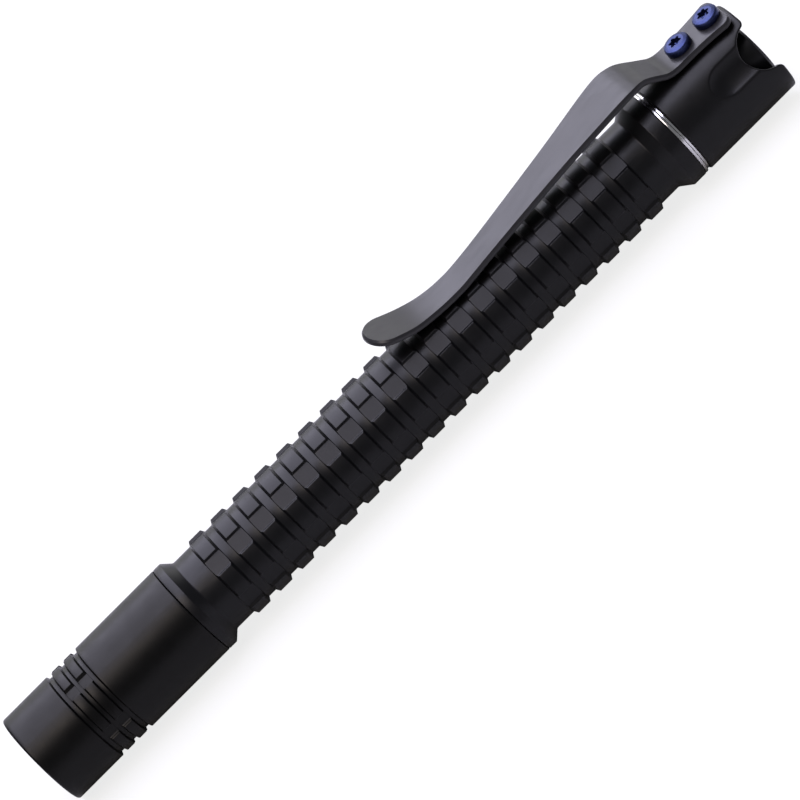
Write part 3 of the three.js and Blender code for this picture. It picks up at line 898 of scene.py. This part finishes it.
def scalloped(x, angle):
    """The cap's outer radius, with a ball-nosed groove leading into each notch."""
    ball = SCALLOP["ball"]
    lift = TAIL_RADIUS - SCALLOP["depth"] + ball
    middle = SCALLOP["start"] + math.sqrt(ball**2 - (lift - TAIL_RADIUS) ** 2)
    r = np.full(np.shape(x), TAIL_RADIUS, float)
    soft = 0.02
    for centre in NOTCH["angles"]:
        away = np.radians((angle - centre + 180) % 360 - 180)
        reach = ball**2 - np.minimum(x - middle, 0) ** 2 - (lift * np.sin(away)) ** 2
        inside = (reach > 0) & (np.abs(away) < 1)
        floor = np.where(inside, lift * np.cos(away) - np.sqrt(np.maximum(reach, 0)), TAIL_RADIUS + 1)
        gap = np.clip(0.5 + 0.5 * (r - floor) / soft, 0, 1)
        r = r * (1 - gap) + floor * gap - soft * gap * (1 - gap)
    return np.minimum(r, TAIL_RADIUS)


def cap_outside(front, rim_x, rim_angle):
    """The cap's outer wall, and the rounded edge between it and the rim."""
    rows = []
    for t in np.linspace(0, 1, 110):
        x = front + (rim_x - front) * t
        rows.append(polar(x, scalloped(x, rim_angle), rim_angle))
    for inset, drop in edge_arc(OUTER_EDGE, 6):
        x, angle = rim(TAIL_RADIUS - drop, inset)
        rows.append(polar(x, scalloped(x, angle) - drop, angle))
    return rows


def cap_rim():
    """The rim from its outer edge to its inner one, which is rounded too."""
    rows = []
    start = scalloped(*rim(TAIL_RADIUS)) - OUTER_EDGE
    for t in (0.25, 0.5, 0.75):
        r = start + (PETAL_BORE + INNER_EDGE - start) * t
        x, angle = rim(r)
        rows.append(polar(x, r, angle))
    for inset, drop in reversed(edge_arc(INNER_EDGE, 4)):
        x, angle = rim(PETAL_BORE + drop, inset)
        rows.append(polar(x, PETAL_BORE + drop, angle))
    return rows


def cap_inside(front, rim_angle):
    """The petals' inner wall, and the bore down to the cap's front."""
    inner_x, inner_angle = rim(PETAL_BORE, INNER_EDGE)
    rows = []
    for t in np.linspace(0, 1, 8)[1:]:
        x = inner_x + (BUTTON_LIP + 0.1 - inner_x) * t
        rows.append(polar(x, PETAL_BORE, inner_angle + (rim_angle - inner_angle) * t))
    bore = rounded([
        (BUTTON_LIP + 0.05, PETAL_BORE), (BUTTON_LIP, PETAL_BORE + 0.05),
        (BUTTON_LIP, SWITCH_BORE, 0.05), (CAP_SHOULDER, SWITCH_BORE, 0.05),
        (CAP_SHOULDER, THREAD["bore"], 0.05), (CAP_FRONT, THREAD["bore"], 0.15),
        (CAP_FRONT, TAIL_RADIUS - 0.2, 0.02), (CAP_FRONT + 0.2, TAIL_RADIUS, 0.1),
        (front - 0.01, TAIL_RADIUS),
    ])
    rows += [polar(x, r, rim_angle) for x, r in bore]
    return rows


def tail_cap():
    front = CAP_FRONT + 0.25
    rim_x, rim_angle = rim(TAIL_RADIUS, OUTER_EDGE + 0.25)
    rows = cap_outside(front, rim_x, rim_angle) + cap_rim() + cap_inside(front, rim_angle)
    grid = np.stack(rows)
    body = (grid.reshape(-1, 3), skin(grid.shape[0], grid.shape[1], True))
    middle, half = (PAD["front"] + PAD["end"]) / 2, (PAD["end"] - PAD["front"]) / 2
    outline = rounded_box(half, PAD["half_width"], PAD["corner"], (middle, 0), 8)
    pad = slab(outline, PAD["bottom"], CLIP["top"] - CLIP["thickness"] - 0.05, 0.15)
    points, faces = joined([body, pad])
    piece("cap_body", points, faces, BLACK, "tail", ["tail_cap"])


tail_cap()


# ---- Clip and its screws --------------------------------------------------------------------------


def clip_half_width(x, inset):
    """Half of the strip's width at a station, for an outline moved in by inset."""
    table = spline(CLIP_HALF_WIDTH, 400)
    wide = np.interp(x, table[:, 0], table[:, 1]) - inset
    tip_x, tip_w = CLIP_HALF_WIDTH[0]
    along, across = tip_x - CLIP_TIP - inset, tip_w - inset
    nose = across * np.sqrt(np.clip(1 - ((tip_x - x) / along) ** 2, 0, 1))
    corner = CLIP["corner"]
    bend, end_w = CLIP_HALF_WIDTH[-1]
    tail = end_w - corner + np.sqrt(np.clip((corner - inset) ** 2 - (x - bend) ** 2, 0, None))
    return np.where(x < tip_x, nose, np.where(x > bend, tail, wide))


def clip_section():
    """Round the strip's section: how far in from its outline, the share of its half width, and the depth.

    The upper edge is a bevel with soft ends, and the lower one an arc.
    """
    edge, thick = CLIP["edge"], CLIP["thickness"]
    upper = [(edge * share, -CLIP["bevel"] * (1 - share)) for share in (1, 0.9, 0.5, 0.1, 0)]
    lower = [(inset, rise - thick) for inset, rise in reversed(edge_arc(edge, 5))]
    side = upper + lower
    across = np.linspace(1, -1, 13)[1:-1]
    return [
        *((inset, 1.0, depth) for inset, depth in side),
        *((edge, share, -thick) for share in across),
        *((inset, -1.0, depth) for inset, depth in reversed(side)),
        *((edge, -share, 0.0) for share in across),
    ]


def pocket_clip():
    """The strip, swept along its side view. Its far end closes in a few narrowing rows."""
    side = spline(CLIP_SIDE, 900)
    slope = np.gradient(side[:, 1], side[:, 0])
    section = clip_section()
    tip_share, end_share = 0.05, 0.032
    even = np.linspace(0, 1, 260)
    middle = even[(even >= tip_share) & (even <= 1 - end_share)]
    near_tip, near_end = (np.sin(np.linspace(0, math.pi / 2, count))[:-1] ** 2 for count in (26, 20))
    t = np.concatenate([tip_share * near_tip, middle, 1 - end_share * near_end[::-1]])
    columns = []
    for inset, share, depth in section:
        x = CLIP_TIP + inset + t * (CLIP["end"] - CLIP_TIP - 2 * inset)
        wide = clip_half_width(x, inset) * share
        height = np.interp(x, side[:, 0], side[:, 1])
        lean = np.arctan(np.interp(x, side[:, 0], slope))
        wide = np.concatenate([wide, wide[-1] * np.linspace(1, 0, 6)[1:]])
        x, height, lean = (np.append(row, np.full(5, row[-1])) for row in (x, height, lean))
        columns.append(np.stack([x - depth * np.sin(lean), wide, height + depth * np.cos(lean)], 1))
    grid = np.stack(columns, axis=1)
    faces = skin(grid.shape[0], grid.shape[1], False)
    piece("spring_clip", grid.reshape(-1, 3), faces, CLIP_METAL, "tail", ["pocket_clip"])


def clip_screw(name, node, turn):
    """A button-headed screw with a six-lobe recess, standing on the clip's plate."""
    low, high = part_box(node)
    x = ((low.x + high.x) / 2 - FRONT) / MM
    seat = CLIP["top"] + 0.03
    top = CLIP["top"] + SCREWS["height"]
    head, shank = SCREWS["head"], SCREWS["shank"]
    floor = top - SCREWS["star_depth"]
    angles = np.radians(np.arange(0, 360, 3))
    round_row = np.ones(len(angles))
    lobes = SCREWS["star"] * (0.84 + 0.16 * np.cos(6 * (angles - math.radians(turn))))
    rows = [
        (0 * round_row, floor - 0.25), (0.35 * round_row, floor - 0.1),
        (lobes - 0.08, floor), (lobes - 0.03, floor + 0.05),
        (lobes - 0.02, top - 0.12), (lobes, top - 0.04), (lobes + 0.04, top),
    ]
    outside = rounded([
        (1.1, top), (1.35, top, 0.3), (1.87, top - 0.15, 0.2), (head, top - 0.37, 0.1),
        (head, seat, 0.06), (shank, seat, 0.05),
        (shank, CLIP["top"] - 2.0, 0.1), (0, CLIP["top"] - 2.2),
    ])
    rows += [(max(r, 0) * round_row, height) for r, height in outside]
    points = [
        np.column_stack([x + r * np.cos(angles), r * np.sin(angles), height * round_row])
        for r, height in rows
    ]
    faces = skin(len(rows), len(angles), False)
    piece(name, np.vstack(points), faces, BLUE, "tail", [node])


pocket_clip()
clip_screw("front_screw", "clip_screw_front", 90)
clip_screw("rear_screw", "clip_screw_rear", 60)


# ---- Switch ---------------------------------------------------------------------------------------


def switch_parts():
    x0, x1 = span("switch_retaining_ring")
    r, hole = radius_of("switch_retaining_ring") - 0.05, 3.9
    turned(
        "lock_ring", [(x0, hole), (x0, r), (x1, r), (x1, hole)],
        BRASS, "tail", ["switch_retaining_ring"],
    )
    board("switch_disc", "switch_board", "tail")
    x0, x1 = span("tail_spring")
    thickness = 0.32
    points, faces = wire(coil(x0, x1, 2.4, 3.3, 6, thickness), thickness)
    piece("cell_spring", points, faces, WIRE, "tail", ["tail_spring"])
    x0, x1 = span("switch_body")
    case, wall, soft = 3.7, 1.0, 0.08
    middle = case - wall
    walls = [(case, wall, (0, side * middle)) for side in (1, -1)]
    walls += [(wall, middle - wall - 0.01, (side * middle, 0)) for side in (1, -1)]
    parts = [slab(rounded_box(case, case, 0.4), x0, x0 + 0.65, soft, "x")]
    parts += [slab(rounded_box(a, b, 0.15, centre), x0 + 0.6, x1, soft, "x") for a, b, centre in walls]
    points, faces = joined(parts)
    piece("switch_case", points, faces, PLASTIC, "tail", ["switch_body"])
    coils = dict(r0=3.2, r1=3.2, turns=3.5, thickness=0.22, closed_turns=0.7)
    stretching_spring("button_spring", "return_spring", coils)


def tail_button():
    x0, top = span("switch_button")
    r, bore, bore_end, chamfer = 4.8, 3.9, 136.0, 0.42
    lip, lip_radius = BUTTON_LIP - 0.05, SWITCH_BORE - 0.2
    seal, half, floor_radius = sum(span("button_o_ring")) / 2, 0.35, r - 0.35
    turned(
        "push_button",
        [(bore_end, 0), (bore_end, bore, 0.2), (x0, bore, 0.05), (x0, lip_radius, 0.08),
         (lip, lip_radius, 0.08), (lip, r, 0.05),
         (seal - half, r, 0.05), (seal - half, floor_radius, 0.05),
         (seal + half, floor_radius, 0.05), (seal + half, r, 0.05),
         (top - chamfer, r, 0.12), (top, r - chamfer, 0.12), (top, 0)],
        BLACK, "button", ["switch_button"], columns=144,
    )
    o_ring("button_seal", "button_o_ring", 4.79, 0.28, "button")
    x0, x1 = span("switch_plunger")
    turned(
        "plunger", [(x0, 0), (x0, 1.4, 0.2), (x1, 1.4, 0.1), (x1, 0)],
        BRASS, "button", ["switch_plunger"],
    )


switch_parts()
tail_button()


# ---- Stage, light and camera ----------------------------------------------------------------------

VIEW_ELEVATION = math.radians(34)
ROLL = math.radians(45)
VIEW_DISTANCE = 0.635
AIM_ALONG = 0.0003
AIM_OVER = 0.0001
LENS = 208.35


def plane(name, height, finish):
    bpy.ops.mesh.primitive_plane_add(size=6, location=(0, 0, height))
    made = bpy.context.object
    made.name = name
    made.data.materials.append(finish.material)
    return made


def floor():
    """A plain pale floor.

    The camera sees it as a light table with a faint shadow. The pen's gloss and the light that bounces
    see plain card just under it, which is dark beneath the pen.
    """
    glow = Recipe("table_top", roughness=0.9, specular_ior_level=0.1, emission_strength=0.8)
    glow.shader.inputs["Emission Color"].default_value = (1, 1, 1, 1)
    glow.feed("Base Color", glow.blend(glow.noise(40, 3), (0.13, 0.13, 0.13), (0.14, 0.14, 0.14)))
    seen = plane("floor", 0, glow)
    for kind in ("diffuse", "glossy", "transmission", "volume_scatter", "shadow"):
        setattr(seen, "visible_" + kind, False)
    card = Recipe("card", roughness=0.9, specular_ior_level=0.1)
    card.feed("Base Color", card.blend(card.noise(40, 3), (0.46, 0.46, 0.46), (0.48, 0.48, 0.48)))
    plane("bounce_card", -0.1 * MM, card).visible_camera = False


def softbox(name, centre, target, size, radiance, color=(1, 1, 1)):
    """A rectangular light, as bright as its radiance says, however large it is."""
    light = bpy.data.lights.new(name, "AREA")
    light.shape = "RECTANGLE"
    light.size, light.size_y = size
    light.energy = radiance * math.pi * size[0] * size[1]
    light.color = color
    obj = bpy.data.objects.new(name, light)
    bpy.context.scene.collection.objects.link(obj)
    obj.location = centre
    obj.rotation_euler = (Vector(target) - Vector(centre)).to_track_quat("-Z", "Y").to_euler()


def studio():
    """A long softbox over the pen, a warm one in front of it, and a dim one low behind."""
    softbox("overhead", (0.03, 0.53, 0.75), (0.03, 0.53, 0), (0.66, 1.6), 6.0, (0.96, 0.945, 1.16))
    softbox("front", (-0.3, -0.44, 0.78), (-0.07, -0.1, 0), (0.44, 0.36), 6.4, (1.0, 0.88, 0.81))
    softbox("back", (0.5, 1.3, 0.45), (0.1, 0, 0.1), (2.2, 0.6), 1.6)
    world = bpy.data.worlds.new("room")
    bpy.context.scene.world = world
    world.use_nodes = True
    background = world.node_tree.nodes["Background"]
    background.inputs["Color"].default_value = (0.94, 0.95, 1.0, 1)
    background.inputs["Strength"].default_value = 0.25


def camera():
    """Looks at the middle of the pen from the side away from the clip, rolled to a diagonal."""
    towards = Vector((0, -math.cos(VIEW_ELEVATION), math.sin(VIEW_ELEVATION)))
    along = Vector((1, 0, 0))
    over = towards.cross(along)
    right = math.cos(ROLL) * along - math.sin(ROLL) * over
    up = math.sin(ROLL) * along + math.cos(ROLL) * over
    data = bpy.data.cameras.new("camera")
    data.lens = LENS
    data.sensor_width = 36
    data.clip_start = 0.01
    obj = bpy.data.objects.new("camera", data)
    bpy.context.scene.collection.objects.link(obj)
    aim = Vector((AIM_ALONG, 0, AXIS_Z)) + AIM_OVER * over
    turn = Matrix((right, up, towards)).transposed().to_4x4()
    obj.matrix_world = Matrix.Translation(aim + towards * VIEW_DISTANCE) @ turn
    bpy.context.scene.camera = obj


floor()
studio()
camera()
bpy.context.scene.view_settings.view_transform = "Standard"
